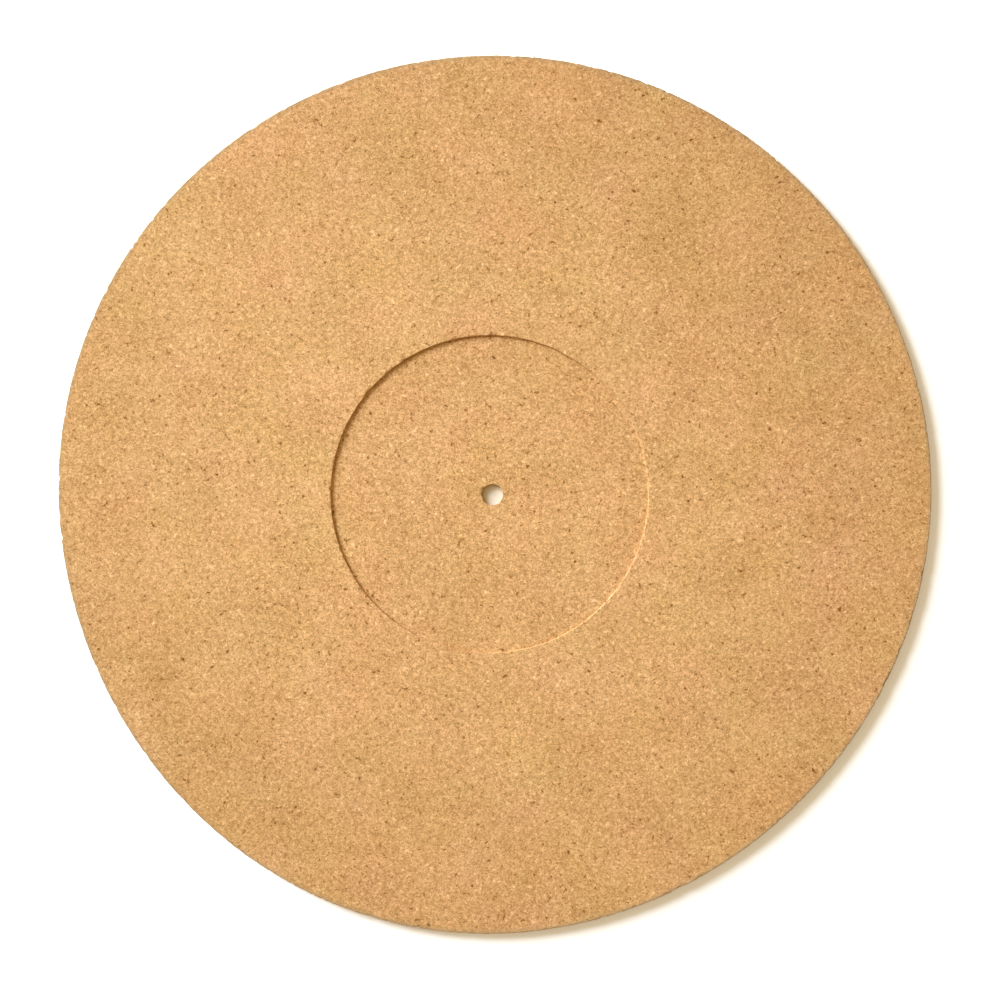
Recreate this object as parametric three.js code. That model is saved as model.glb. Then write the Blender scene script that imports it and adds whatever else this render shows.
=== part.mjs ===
// A mat for the platter of a record player: one round of pressed cork granules, cut from a sheet.
// A hole in the middle slips over the spindle, and a shallow round recess in the top face takes
// the label of a record, which is a little thicker than its grooved part.
// Millimetres, +Z up. The mat lies on the XY plane with its axis on Z and its recess on top.
import * as THREE from "three";

// Driving dimensions
const matDiameter = 300;
const matThickness = 3;
const spindleHoleDiameter = 7.3;
const recessDiameter = 109.5; // where its lip meets the top face
const recessDepth = 1;

// Edges. Cork crumbles at a cut, so none of them is sharp.
const rimEdgeRadius = 0.3; // top and bottom edge of the outer rim
const holeEdgeRadius = 0.08; // top and bottom edge of the spindle hole
const recessLipRadius = 0.2;
const recessCornerRadius = 0.15; // where the recess's wall meets its floor
const recessWallLean = 8; // degrees that the wall leans outwards from upright

// Steps of the faceted surface
const stepsAround = 144;
const stepsPerEdge = 3;

const matRadius = matDiameter / 2;
const holeRadius = spindleHoleDiameter / 2;
const recessRadius = recessDiameter / 2;
const floorHeight = matThickness - recessDepth;

// Adds a round edge to an outline of radii and heights, as an arc from one angle to another.
function roundEdge(outline, radius, height, edgeRadius, fromDegrees, toDegrees) {
  outline.absarc(
    radius,
    height,
    edgeRadius,
    THREE.MathUtils.degToRad(fromDegrees),
    THREE.MathUtils.degToRad(toDegrees),
    toDegrees < fromDegrees,
  );
}

// The recess's wall, from its floor corner up to its lip, as two arcs that one leaning line joins.
// The lip is an outside edge, centred under the top face, and the corner an inside one, centred
// over the floor. Both meet the line where their normals are square to it.
function addRecessWall(outline) {
  const lean = THREE.MathUtils.degToRad(recessWallLean);
  const lipHeight = matThickness - recessLipRadius;
  const cornerHeight = floorHeight + recessCornerRadius;
  const lipFoot = lipHeight + recessLipRadius * Math.sin(lean);
  const cornerTop = cornerHeight - recessCornerRadius * Math.sin(lean);
  const wallRun = (lipFoot - cornerTop) * Math.tan(lean);
  const cornerRadius =
    recessRadius - recessLipRadius * Math.cos(lean) - wallRun - recessCornerRadius * Math.cos(lean);
  roundEdge(outline, recessRadius, lipHeight, recessLipRadius, 90, 180 - recessWallLean);
  roundEdge(outline, cornerRadius, cornerHeight, recessCornerRadius, -recessWallLean, -90);
}

// Half of the mat's section, as one closed outline of radii and heights. It runs up the rim, in
// along the top face, down into the recess, in along its floor, down the wall of the spindle hole
// and back out along the underside.
function matSection() {
  const outline = new THREE.Path();
  roundEdge(outline, matRadius - rimEdgeRadius, rimEdgeRadius, rimEdgeRadius, -90, 0);
  roundEdge(outline, matRadius - rimEdgeRadius, matThickness - rimEdgeRadius, rimEdgeRadius, 0, 90);
  addRecessWall(outline);
  roundEdge(outline, holeRadius + holeEdgeRadius, floorHeight - holeEdgeRadius, holeEdgeRadius, 90, 180);
  roundEdge(outline, holeRadius + holeEdgeRadius, holeEdgeRadius, holeEdgeRadius, 180, 270);
  outline.closePath();
  return outline.getPoints(stepsPerEdge / 2);
}

// The section turned round the mat's axis. The lathe turns it round Y, so it is stood up on Z.
function corkMat() {
  const geometry = new THREE.LatheGeometry(matSection(), stepsAround);
  geometry.rotateX(Math.PI / 2);
  const pressedCork = new THREE.MeshStandardMaterial({ color: 0xdbaa6f, roughness: 0.9, metalness: 0 });
  const mesh = new THREE.Mesh(geometry, pressedCork);
  mesh.name = "cork_mat";
  return mesh;
}

const platterMat = new THREE.Group();
platterMat.add(corkMat());

export default platterMat;
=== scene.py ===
import math

import bpy
import numpy as np
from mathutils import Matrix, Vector


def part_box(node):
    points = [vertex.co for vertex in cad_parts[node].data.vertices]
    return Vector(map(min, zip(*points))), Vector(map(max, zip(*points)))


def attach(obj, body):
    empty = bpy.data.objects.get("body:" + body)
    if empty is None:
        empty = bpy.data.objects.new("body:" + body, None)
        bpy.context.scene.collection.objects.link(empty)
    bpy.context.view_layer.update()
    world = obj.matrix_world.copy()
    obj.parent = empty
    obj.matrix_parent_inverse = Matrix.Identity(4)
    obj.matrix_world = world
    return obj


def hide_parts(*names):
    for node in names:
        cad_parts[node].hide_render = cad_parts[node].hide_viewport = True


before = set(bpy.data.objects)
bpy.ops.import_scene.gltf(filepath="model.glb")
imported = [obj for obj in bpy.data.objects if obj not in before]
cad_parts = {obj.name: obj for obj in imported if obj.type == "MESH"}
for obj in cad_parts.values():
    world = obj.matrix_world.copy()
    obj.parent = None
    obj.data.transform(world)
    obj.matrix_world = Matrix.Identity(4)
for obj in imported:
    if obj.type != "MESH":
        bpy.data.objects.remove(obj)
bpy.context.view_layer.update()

# The cork mat
# One round cut from a sheet of cork granules that were pressed with a binder and sanded flat. The
# hole is punched for the spindle, and the recess is turned a millimetre deep to clear a label.
# Cork tears at a cut, so every edge has lost some granules, and no cut is quite on centre.
rim_radius, _, mat_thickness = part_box("cork_mat")[1]
hole_radius = 3.65e-3
recess_radius = 54.75e-3
recess_depth = 1e-3
recess_centre = (-0.93e-3, 0.17e-3)
rim_edge_radius = 0.3e-3
hole_edge_radius = 0.08e-3
lip_radius = 0.2e-3
corner_radius = 0.15e-3
wall_lean = math.radians(8)
steps_around = 1900
# Steps of an edge and of the recess's lip, and points on the walls of the rim and the hole.
edge_steps, lip_steps, rim_wall_points, hole_wall_points = 3, 4, 5, 2
# Swells of the rim out of round: lobes, height in metres, and the angle of the first lobe.
rim_swells = ((1, 0.72e-3, 47), (2, 0.47e-3, 83), (3, 0.61e-3, 17.5), (4, 0.3e-3, -11))
# Granules of the cuts: their coarse and fine sizes. A coarse granule is lost where the coarse relief,
# which runs from -1 to 1, lies further than this under nought.
coarse_granule, fine_granule = 1.3e-3, 0.7e-3
lost_under = 0.45
# Each cut with the radius that its granules are spaced at, how far they stand out, how deep its
# bites are and its seed. The rim is knocked the most in use, so it is the roughest.
cuts = {
    "rim": (rim_radius, 0.06e-3, 0.5e-3, 11),
    "recess": (recess_radius, 0.045e-3, 0.2e-3, 23),
    "hole": (hole_radius, 0.04e-3, 0.2e-3, 37),
}


def arc(centre_radius, centre_height, radius, start, end, steps):
    """Points of a round edge in the section: its centre plus the radius times an angle's cosine and sine."""
    turns = np.radians(np.linspace(start, end, steps + 1))
    return np.stack([centre_radius + radius * np.cos(turns), centre_height + radius * np.sin(turns)], 1)


def flat(height, *radii):
    """Points of a level stretch of the section, at the radii given."""
    return np.array([(radius, height) for radius in radii])


def upright(radius, start, end, count):
    """Points evenly up or down a wall of the section, without its two ends."""
    heights = np.linspace(start, end, count + 2)[1:-1]
    return np.stack([np.full(count, radius), heights], 1)


floor_height = mat_thickness - recess_depth
hole_edge_centre = hole_radius + hole_edge_radius
rim_edge_centre = rim_radius - rim_edge_radius
lean_degrees = math.degrees(wall_lean)
lip_height = mat_thickness - lip_radius
corner_height = floor_height + corner_radius
wall_rise = lip_height - corner_height + (lip_radius + corner_radius) * math.sin(wall_lean)
wall_run = (lip_radius + corner_radius) * math.cos(wall_lean) + wall_rise * math.tan(wall_lean)
corner_centre = recess_radius - wall_run
lip = arc(recess_radius, lip_height, lip_radius, 90, 180 - lean_degrees, lip_steps)
corner = arc(corner_centre, corner_height, corner_radius, -lean_degrees, -90, edge_steps)

# Rings of the flats. Each flat has two or three beside each cut, so that the smooth shading of the
# cut ends there, and one between.
rim_rings = rim_radius - np.array([0.4e-3, 0.8e-3, 1.6e-3])
lip_rings = recess_radius + np.array([0.75e-3, 0.1e-3])
corner_rings = recess_radius - np.array([0.85e-3, 1.45e-3])
hole_rings = hole_radius + np.array([1.15e-3, 0.2e-3])
top_middle, floor_middle, underside_middle = 0.1, 0.03, 0.05

# The section runs up the rim, in along the top, through the recess, down the hole and back out.
stretches = {
    "rim": [
        arc(rim_edge_centre, rim_edge_radius, rim_edge_radius, -90, 0, edge_steps),
        upright(rim_radius, rim_edge_radius, mat_thickness - rim_edge_radius, rim_wall_points),
        arc(rim_edge_centre, mat_thickness - rim_edge_radius, rim_edge_radius, 0, 90, edge_steps),
    ],
    "top": [flat(mat_thickness, *rim_rings, top_middle, *lip_rings)],
    "recess": [lip, (lip[-1] * 2 + corner[0])[None] / 3, (lip[-1] + corner[0] * 2)[None] / 3, corner],
    "floor": [flat(floor_height, *corner_rings, floor_middle, *hole_rings)],
    "hole": [
        arc(hole_edge_centre, floor_height - hole_edge_radius, hole_edge_radius, 90, 180, edge_steps),
        upright(hole_radius, floor_height - hole_edge_radius, hole_edge_radius, hole_wall_points),
        arc(hole_edge_centre, hole_edge_radius, hole_edge_radius, 180, 270, edge_steps),
    ],
    "underside": [flat(0.0, *hole_rings[::-1], underside_middle, *rim_rings[::-1])],
}
parts = {name: np.concatenate(pieces) for name, pieces in stretches.items()}
section = np.concatenate(list(parts.values()))
row_part = np.concatenate([[name] * len(rows) for name, rows in parts.items()])
row_count = len(section)
lengths = np.concatenate([[0.0], np.cumsum(np.linalg.norm(np.diff(section, axis=0), axis=1))])


def granule_relief(turns, run, reference_radius, granule, seed):
    """Heights from -1 to 1 over a cut: random values at the corners of a grid of granule-sized cells, round
    the cut and along its section, joined by smoothstep both ways. The last column meets the first."""
    columns = round(2 * math.pi * reference_radius / granule)
    rows = int(np.ptp(run) / granule) + 3
    values = np.random.default_rng(seed).uniform(-1, 1, (rows, columns))
    across = turns[None, :] * columns
    up = (run[:, None] - run.min()) / granule
    column, row = np.floor(across).astype(int), np.floor(up).astype(int)
    x, y = across - column, up - row
    x, y = x * x * (3 - 2 * x), y * y * (3 - 2 * y)
    left, right = column % columns, (column + 1) % columns
    low = values[row, left] * (1 - x) + values[row, right] * x
    high = values[row + 1, left] * (1 - x) + values[row + 1, right] * x
    return low * (1 - y) + high * y


def cut_relief(rows, reference_radius, granule_height, bite_depth, seed):
    """How far a cut's surface stands out along its normal, round a mean of nought: coarse and fine granules,
    and deep bites where a coarse granule is lost, which is where the coarse relief is under a threshold."""
    turns = np.arange(steps_around) / steps_around
    coarse = granule_relief(turns, lengths[rows], reference_radius, coarse_granule, seed)
    fine = granule_relief(turns, lengths[rows], reference_radius, fine_granule, seed + 1)
    bites = np.clip(-lost_under - coarse, 0, None) / (1 - lost_under)
    outstanding = granule_height * (coarse + fine) - bite_depth * bites
    return outstanding - outstanding.mean()


angles = np.arange(steps_around) * 2 * math.pi / steps_around
normals = np.roll(section, -1, 0) - np.roll(section, 1, 0)
normals = np.stack([normals[:, 1], -normals[:, 0]], 1) / np.linalg.norm(normals, axis=1)[:, None]
relief = np.zeros((row_count, steps_around))
for cut, form in cuts.items():
    rows = np.nonzero(row_part == cut)[0]
    relief[rows] = cut_relief(rows, *form)
swell = sum(height * np.cos(lobes * (angles - math.radians(first))) for lobes, height, first in rim_swells)
swell_share = np.interp(section[:, 0], [recess_radius, rim_radius], [0, 1])[:, None]
off_centre = np.interp(section[:, 0], [hole_radius, corner_centre, recess_radius, rim_radius], [0, 1, 1, 0])
radii = section[:, :1] + swell_share * swell + relief * normals[:, :1]
places = np.stack(
    [
        radii * np.cos(angles) + off_centre[:, None] * recess_centre[0],
        radii * np.sin(angles) + off_centre[:, None] * recess_centre[1],
        np.clip(section[:, 1:] + relief * normals[:, 1:], 0, mat_thickness),
    ],
    2,
)
row, column = np.meshgrid(np.arange(row_count), np.arange(steps_around), indexing="ij")
next_row, next_column = (row + 1) % row_count, (column + 1) % steps_around
quad_rows = np.stack([row, row, next_row, next_row], -1)
quad_columns = np.stack([column, next_column, next_column, column], -1)
mat_mesh = bpy.data.meshes.new("cork_mat_surface")
quads = quad_rows * steps_around + quad_columns
mat_mesh.from_pydata(places.reshape(-1, 3), [], quads.reshape(-1, 4))
mat_mesh.polygons.foreach_set("use_smooth", np.ones(row_count * steps_around, bool))

# Cuts are darker in colour: partly the darker cork of a torn cut, and partly painted shade on the walls of
# the rim, the recess and the hole. The recess's floor is a little darker too. Handling has greyed the rim and
# what is next to it, and the recess's wall less.
torn_and_shaded_shares = {"rim": 1.0, "top": 0.0, "recess": 0.3, "floor": 0.12, "hole": 1.0, "underside": 0.0}
worn_shares = {"rim": 1.0, "top": 0.0, "recess": 0.1, "floor": 0.0, "hole": 0.0, "underside": 0.0}
torn_and_shaded = np.array([torn_and_shaded_shares[part] for part in row_part])
worn = np.array([worn_shares[part] for part in row_part])
worn = np.where(row_part == "top", np.interp(section[:, 0], [rim_rings[2], rim_rings[0]], [0, 1]), worn)
for name, shares in (("torn_and_shaded", torn_and_shaded), ("worn", worn)):
    attribute = mat_mesh.attributes.new(name, "FLOAT", "POINT")
    attribute.data.foreach_set("value", np.repeat(shares, steps_around).astype(np.float32))

# A map for baking, with the mat laid out as two discs in opposite corners: the top with its cuts
# opened out flat, each ring as far from the middle as it is along the section, and the underside.
disc_sizes = np.array([0.76, 0.40])
disc_middles = np.array([0.385, 0.797])
hole_end = np.nonzero(row_part == "hole")[0][-1]
floor_start = np.nonzero(row_part == "floor")[0][0]
opened_out = section[floor_start, 0] + lengths[floor_start] - lengths
ring_reach = np.stack([opened_out / opened_out.max(), section[:, 0] / rim_radius])
disc = np.broadcast_to((quad_rows[..., :1] >= hole_end).astype(int), quad_rows.shape)
reach = ring_reach[disc, quad_rows] * disc_sizes[disc] / 2
turn = angles[quad_columns]
bake_map = np.stack([reach * np.cos(turn), reach * np.sin(turn)], -1) + disc_middles[disc][..., None]
map_layer = mat_mesh.uv_layers.new(name="OFBake")
map_layer.data.foreach_set("uv", bake_map.reshape(-1).astype(np.float32))
mat_mesh.update()


def linear(hex_colour):
    """An sRGB hex colour as linear red, green, blue and alpha."""
    values = [int(hex_colour[place : place + 2], 16) / 255 for place in (1, 3, 5)]
    return [v / 12.92 if v <= 0.04045 else ((v + 0.055) / 1.055) ** 2.4 for v in values] + [1.0]


def add_node(material, kind, inputs=None, **settings):
    """Adds a node with its settings, and sets or links each input that is given. An input is named, or
    numbered where names repeat: a Mix node has its share at 0 and its two colours at 6 and 7."""
    node = material.node_tree.nodes.new(kind)
    for name, value in settings.items():
        setattr(node, name, value)
    for socket, value in (inputs or {}).items():
        if isinstance(value, bpy.types.NodeSocket):
            material.node_tree.links.new(value, node.inputs[socket])
        else:
            node.inputs[socket].default_value = value
    return node


def pressed_cork():
    """Cork granules of 0.5 to 1.5 mm, pressed with a binder and sanded. Each granule has a tone of its own,
    and flecks of bark among them show as dark specks."""
    material = bpy.data.materials.new("pressed_cork")
    material.use_nodes = True
    tree = material.node_tree
    tree.nodes.clear()

    def sum_of(start, terms):
        """The start value plus each share times how far its texture is from a half."""
        for texture, share in terms:
            shifted = add_node(material, "ShaderNodeMath", {0: texture, 1: 0.5}, operation="SUBTRACT")
            terms_so_far = {0: shifted.outputs[0], 1: share, 2: start}
            start = add_node(material, "ShaderNodeMath", terms_so_far, operation="MULTIPLY_ADD").outputs[0]
        return start

    metres = add_node(material, "ShaderNodeTexCoord").outputs["Object"]
    # Sizes in millimetres: granules large and small, the grit on them, flecks of bark and heart, and
    # patches of one shade.
    large_granule, small_granule, grit_grain, fleck, patch = 1.2, 0.55, 0.4, 1.5, 24
    # The place in millimetres. Noise is weakest in the planes of its own grid, so a shift of half a
    # millimetre leaves the three flat faces equally far from those of the fine noises.
    shifted_place = {0: metres, 1: (1000, 1000, 1000), 2: (0, 0, 0.5)}
    place = add_node(material, "ShaderNodeVectorMath", shifted_place, operation="MULTIPLY_ADD").outputs[0]

    # Granules aren't cut clean, so their borders wander by up to a quarter of a millimetre.
    wander_size, wander_reach = 0.6, 0.6
    wander_noise = {"Vector": place, "Scale": 1 / wander_size, "Detail": 1.0}
    wander = add_node(material, "ShaderNodeTexNoise", wander_noise)
    halves = {0: wander.outputs["Color"], 1: (0.5, 0.5, 0.5)}
    wander = add_node(material, "ShaderNodeVectorMath", halves, operation="SUBTRACT")
    wander_terms = {0: wander.outputs[0], 1: (wander_reach,) * 3, 2: place}
    wandered = add_node(material, "ShaderNodeVectorMath", wander_terms, operation="MULTIPLY_ADD").outputs[0]
    large_cells = add_node(material, "ShaderNodeTexVoronoi", {"Vector": wandered, "Scale": 1 / large_granule})
    large_parts = add_node(material, "ShaderNodeSeparateColor", {0: large_cells.outputs["Color"]})
    small_cells = add_node(material, "ShaderNodeTexVoronoi", {"Vector": wandered, "Scale": 1 / small_granule})
    small_parts = add_node(material, "ShaderNodeSeparateColor", {0: small_cells.outputs["Color"]})
    grit_noise = {"Vector": place, "Scale": 1 / grit_grain, "Detail": 1.0}
    grit = add_node(material, "ShaderNodeTexNoise", grit_noise).outputs[0]
    drift = add_node(material, "ShaderNodeTexNoise", {"Vector": place, "Scale": 1 / patch, "Detail": 5.0})
    drift_parts = add_node(material, "ShaderNodeSeparateColor", {0: drift.outputs["Color"]})
    large_tone, small_tone, drift_tone = (part.outputs[0] for part in (large_parts, small_parts, drift_parts))
    # The tone of the cork, from nought in dark bark to one in the palest heart of a granule.
    middle_tone = 0.73
    tone = sum_of(middle_tone, ((large_tone, 0.12), (small_tone, 0.26), (drift_tone, 0.2), (grit, 0.63)))

    # Ragged flecks where a noise is far from its mean: dark flecks of bark at one end of its range, and
    # pale ones at the other, where a granule was cut through its heart.
    flecks = add_node(material, "ShaderNodeTexNoise", {"Vector": place, "Scale": 1 / fleck, "Detail": 2.5})
    bark_span = {"From Min": 0.636, "From Max": 0.764, "To Max": 0.59}
    bark = add_node(material, "ShaderNodeMapRange", {"Value": flecks.outputs[0], **bark_span}).outputs[0]
    heart_span = {"From Min": 0.364, "From Max": 0.24, "To Max": 0.37}
    heart = add_node(material, "ShaderNodeMapRange", {"Value": flecks.outputs[0], **heart_span}).outputs[0]
    tone = add_node(material, "ShaderNodeMath", {0: tone, 1: bark}, operation="SUBTRACT").outputs[0]
    tone = add_node(material, "ShaderNodeMath", {0: tone, 1: heart}, operation="ADD").outputs[0]
    # Cuts are darker: partly the darker cork of a torn cut, and partly painted shade on the walls of the rim,
    # the recess and the hole. The recess's floor is a little darker too.
    torn_and_shaded = add_node(material, "ShaderNodeAttribute", attribute_name="torn_and_shaded").outputs["Fac"]
    torn_and_shaded_tone = {0: torn_and_shaded, 1: -0.15, 2: tone}
    tone = add_node(material, "ShaderNodeMath", torn_and_shaded_tone, operation="MULTIPLY_ADD").outputs[0]
    ramp = add_node(material, "ShaderNodeValToRGB", {0: tone})
    stops = (
        (0.0, "#713b01"),
        (0.25, "#976127"),
        (0.5, "#bc864c"),
        (middle_tone, "#ddaa70"),
        (0.87, "#f1be84"),
        (1.0, "#ffd59a"),
    )
    for position, _ in stops[1:-1]:
        ramp.color_ramp.elements.new(position)
    for element, (position, colour) in zip(ramp.color_ramp.elements, stops):
        element.position = position
        element.color = linear(colour)

    # Patches of a centimetre or two lean from pink to straw, and others from yellow to grey, as granules
    # of different bark do. The tints are shares of linear red, green and blue.
    tinted = ramp.outputs[0]
    for part, tint in ((1, (0.935, 1.0, 0.9, 1.0)), (2, (1.0, 1.0, 1.12, 1.0))):
        drift_span = {"Value": drift_parts.outputs[part], "From Min": 0.3, "From Max": 0.7}
        share = add_node(material, "ShaderNodeMapRange", drift_span).outputs[0]
        toned = {0: share, 6: tinted, 7: tint}
        mixed = add_node(material, "ShaderNodeMix", toned, data_type="RGBA", blend_type="MULTIPLY")
        tinted = mixed.outputs[2]

    # Worn cork is a little greyer.
    worn = add_node(material, "ShaderNodeAttribute", attribute_name="worn").outputs["Fac"]
    worn_share = add_node(material, "ShaderNodeMath", {0: worn, 1: 0.5}, operation="MULTIPLY").outputs[0]
    greyed = {0: worn_share, 6: tinted, 7: linear("#bba278")}
    colour = add_node(material, "ShaderNodeMix", greyed, data_type="RGBA").outputs[2]

    # Relief: the granules are domes of a few hundredths of a millimetre with grit on them, and the bark
    # lies as deep again. The shares are of the relief's unit.
    relief, relief_unit = 0.0, 0.8e-3
    for height, share in ((small_cells.outputs["Distance"], -0.05), (grit, 0.06), (bark, -0.05)):
        terms_so_far = {0: height, 1: share, 2: relief}
        relief = add_node(material, "ShaderNodeMath", terms_so_far, operation="MULTIPLY_ADD").outputs[0]
    bump = add_node(material, "ShaderNodeBump", {"Height": relief, "Strength": 1.0, "Distance": relief_unit})
    matt_finish = {"Base Color": colour, "Roughness": 0.9, "IOR": 1.45, "Normal": bump.outputs[0]}
    surface = add_node(material, "ShaderNodeBsdfPrincipled", matt_finish)
    output = add_node(material, "ShaderNodeOutputMaterial")
    tree.links.new(surface.outputs[0], output.inputs["Surface"])
    return material


cork_mat = bpy.data.objects.new("cork_mat_surface", mat_mesh)
bpy.context.scene.collection.objects.link(cork_mat)
mat_mesh.materials.append(pressed_cork())
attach(cork_mat, "root")
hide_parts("cork_mat")

# The studio floor
# A seamless white sheet under the mat. Near the mat the camera sees the sheet with the mat's soft shadow on
# it, lifted and cooled by a weak painted glow, and farther out, where the key lamp's beam ends, the glow
# grows and makes the sheet plain white.
# In the spindle hole the sheet is cream, from the light that the cork throws on it.
floor_half = 4.0
# Distances from the middle of the mat at which the sheet stops being cream and is plain, and at which
# the glow starts to grow and is full, and the glow's strength before it grows.
cream_end, plain_start = 0.05, 0.12
glow_start, glow_end, least_glow = 0.16, 0.26, 0.18
# Linear colours. The sheet that the camera sees is brighter than paper can be, so that it is plain
# white wherever the lamps reach, and the paper itself throws light on the cork.
cream_sheet, bright_sheet, paper_white = (0.91, 0.86, 0.73, 1), (1.3, 1.3, 1.3, 1), (0.9, 0.9, 0.9, 1)
shadow_glow, white = (0.92, 1.04, 1.15, 1), (1, 1, 1, 1)
floor_mesh = bpy.data.meshes.new("studio_floor")
floor_corners = [(-1, -1), (1, -1), (1, 1), (-1, 1)]
floor_mesh.from_pydata([(x * floor_half, y * floor_half, 0) for x, y in floor_corners], [], [(0, 1, 2, 3)])
floor = bpy.data.objects.new("studio_floor", floor_mesh)
bpy.context.scene.collection.objects.link(floor)
paper = bpy.data.materials.new("white_paper")
paper.use_nodes = True
paper.node_tree.nodes.clear()


def seen_rays(material):
    """One for rays from the camera and for those by way of gloss or glass, and nought for the rest."""
    rays = add_node(material, "ShaderNodeLightPath")
    seen = rays.outputs["Is Camera Ray"]
    for kind in ("Is Glossy Ray", "Is Transmission Ray"):
        seen = add_node(material, "ShaderNodeMath", {0: seen, 1: rays.outputs[kind]}, operation="MAXIMUM")
        seen = seen.outputs[0]
    return seen


paper_place = add_node(paper, "ShaderNodeTexCoord").outputs["Object"]
from_mat = add_node(paper, "ShaderNodeVectorMath", {0: paper_place}, operation="LENGTH").outputs["Value"]
hole_span = {"Value": from_mat, "From Min": cream_end, "From Max": plain_start}
out_of_hole = add_node(paper, "ShaderNodeMapRange", hole_span).outputs[0]
glow_span = {"Value": from_mat, "From Min": glow_start, "From Max": glow_end, "To Min": least_glow}
glow = add_node(paper, "ShaderNodeMapRange", glow_span, interpolation_type="SMOOTHSTEP").outputs[0]
glow = add_node(paper, "ShaderNodeMath", {0: glow, 1: out_of_hole}, operation="MULTIPLY").outputs[0]
glow_colours = {0: glow, 6: shadow_glow, 7: white}
glow_colour = add_node(paper, "ShaderNodeMix", glow_colours, data_type="RGBA").outputs[2]
white_glow = add_node(paper, "ShaderNodeEmission", {"Color": glow_colour, "Strength": glow})
sheet_colours = {0: out_of_hole, 6: cream_sheet, 7: bright_sheet}
sheet_colour = add_node(paper, "ShaderNodeMix", sheet_colours, data_type="RGBA").outputs[2]
seen_sheet = add_node(paper, "ShaderNodeBsdfDiffuse", {"Color": sheet_colour})
seen_paper = add_node(paper, "ShaderNodeAddShader", {0: seen_sheet.outputs[0], 1: white_glow.outputs[0]})
sheet = add_node(paper, "ShaderNodeBsdfDiffuse", {"Color": paper_white})
seen_or_real = {0: seen_rays(paper), 1: sheet.outputs[0], 2: seen_paper.outputs[0]}
shown = add_node(paper, "ShaderNodeMixShader", seen_or_real)
paper_output = add_node(paper, "ShaderNodeOutputMaterial")
paper.node_tree.links.new(shown.outputs[0], paper_output.inputs["Surface"])
floor_mesh.materials.append(paper)

# The lamps
# One large round soft box with a honeycomb, low at the upper left of the picture, gives nearly all of
# the light. A weak spot from higher up lifts the middle of the mat, and warm room light the shadows.
lamp_azimuth = math.radians(145)
lamp_distance = 0.9
cool_white, warm_air = (0.863, 0.945, 1.07), (1.0, 0.69, 0.24, 1)
air_level = 0.36


def soft_box(name, elevation, size, beam, aim, power):
    """A round lamp at an elevation over the mat's middle, turned to its aim, with a beam as wide as its
    honeycomb lets through. Both angles are in degrees."""
    lamp = bpy.data.lights.new(name, "AREA")
    lamp.shape = "DISK"
    lamp.size = size
    lamp.spread = math.radians(beam)
    lamp.energy = power
    lamp.color = cool_white
    holder = bpy.data.objects.new(name, lamp)
    level = math.cos(math.radians(elevation)) * lamp_distance
    height = math.sin(math.radians(elevation)) * lamp_distance
    place = Vector((level * math.cos(lamp_azimuth), level * math.sin(lamp_azimuth), height))
    holder.location = place
    holder.rotation_euler = (Vector(aim) - place).to_track_quat("-Z", "Y").to_euler()
    holder.visible_camera = False
    bpy.context.scene.collection.objects.link(holder)


soft_box("key_lamp", elevation=27, size=0.66, beam=48, aim=(0.03, -0.04, 0), power=2.02)
soft_box("spot_lamp", elevation=60, size=0.1, beam=21, aim=(-0.005, 0, 0), power=0.009)
world = bpy.data.worlds.new("studio_air")
bpy.context.scene.world = world
world.use_nodes = True
world.node_tree.nodes.clear()
air_seen = seen_rays(world)
air_strength = add_node(world, "ShaderNodeMapRange", {"Value": air_seen, "To Min": air_level, "To Max": 1.0})
air_colours = {0: air_seen, 6: warm_air, 7: white}
air_colour = add_node(world, "ShaderNodeMix", air_colours, data_type="RGBA").outputs[2]
air = add_node(world, "ShaderNodeBackground", {"Color": air_colour, "Strength": air_strength.outputs[0]})
air_output = add_node(world, "ShaderNodeOutputWorld")
world.node_tree.links.new(air.outputs[0], air_output.inputs["Surface"])

# The camera
# It looks straight down from 0.65 m, with the mat a little up and left of the picture's middle.
camera_height = 0.65
picture_width = 0.3431
picture_middle = (2.61e-3, -1.82e-3)
camera_data = bpy.data.cameras.new("camera")
camera_data.sensor_width = 36
camera_data.lens = camera_data.sensor_width * camera_height / picture_width
camera = bpy.data.objects.new("camera", camera_data)
camera.location = (*picture_middle, mat_thickness + camera_height)
bpy.context.scene.collection.objects.link(camera)
bpy.context.scene.camera = camera
bpy.context.scene.view_settings.view_transform = "Standard"
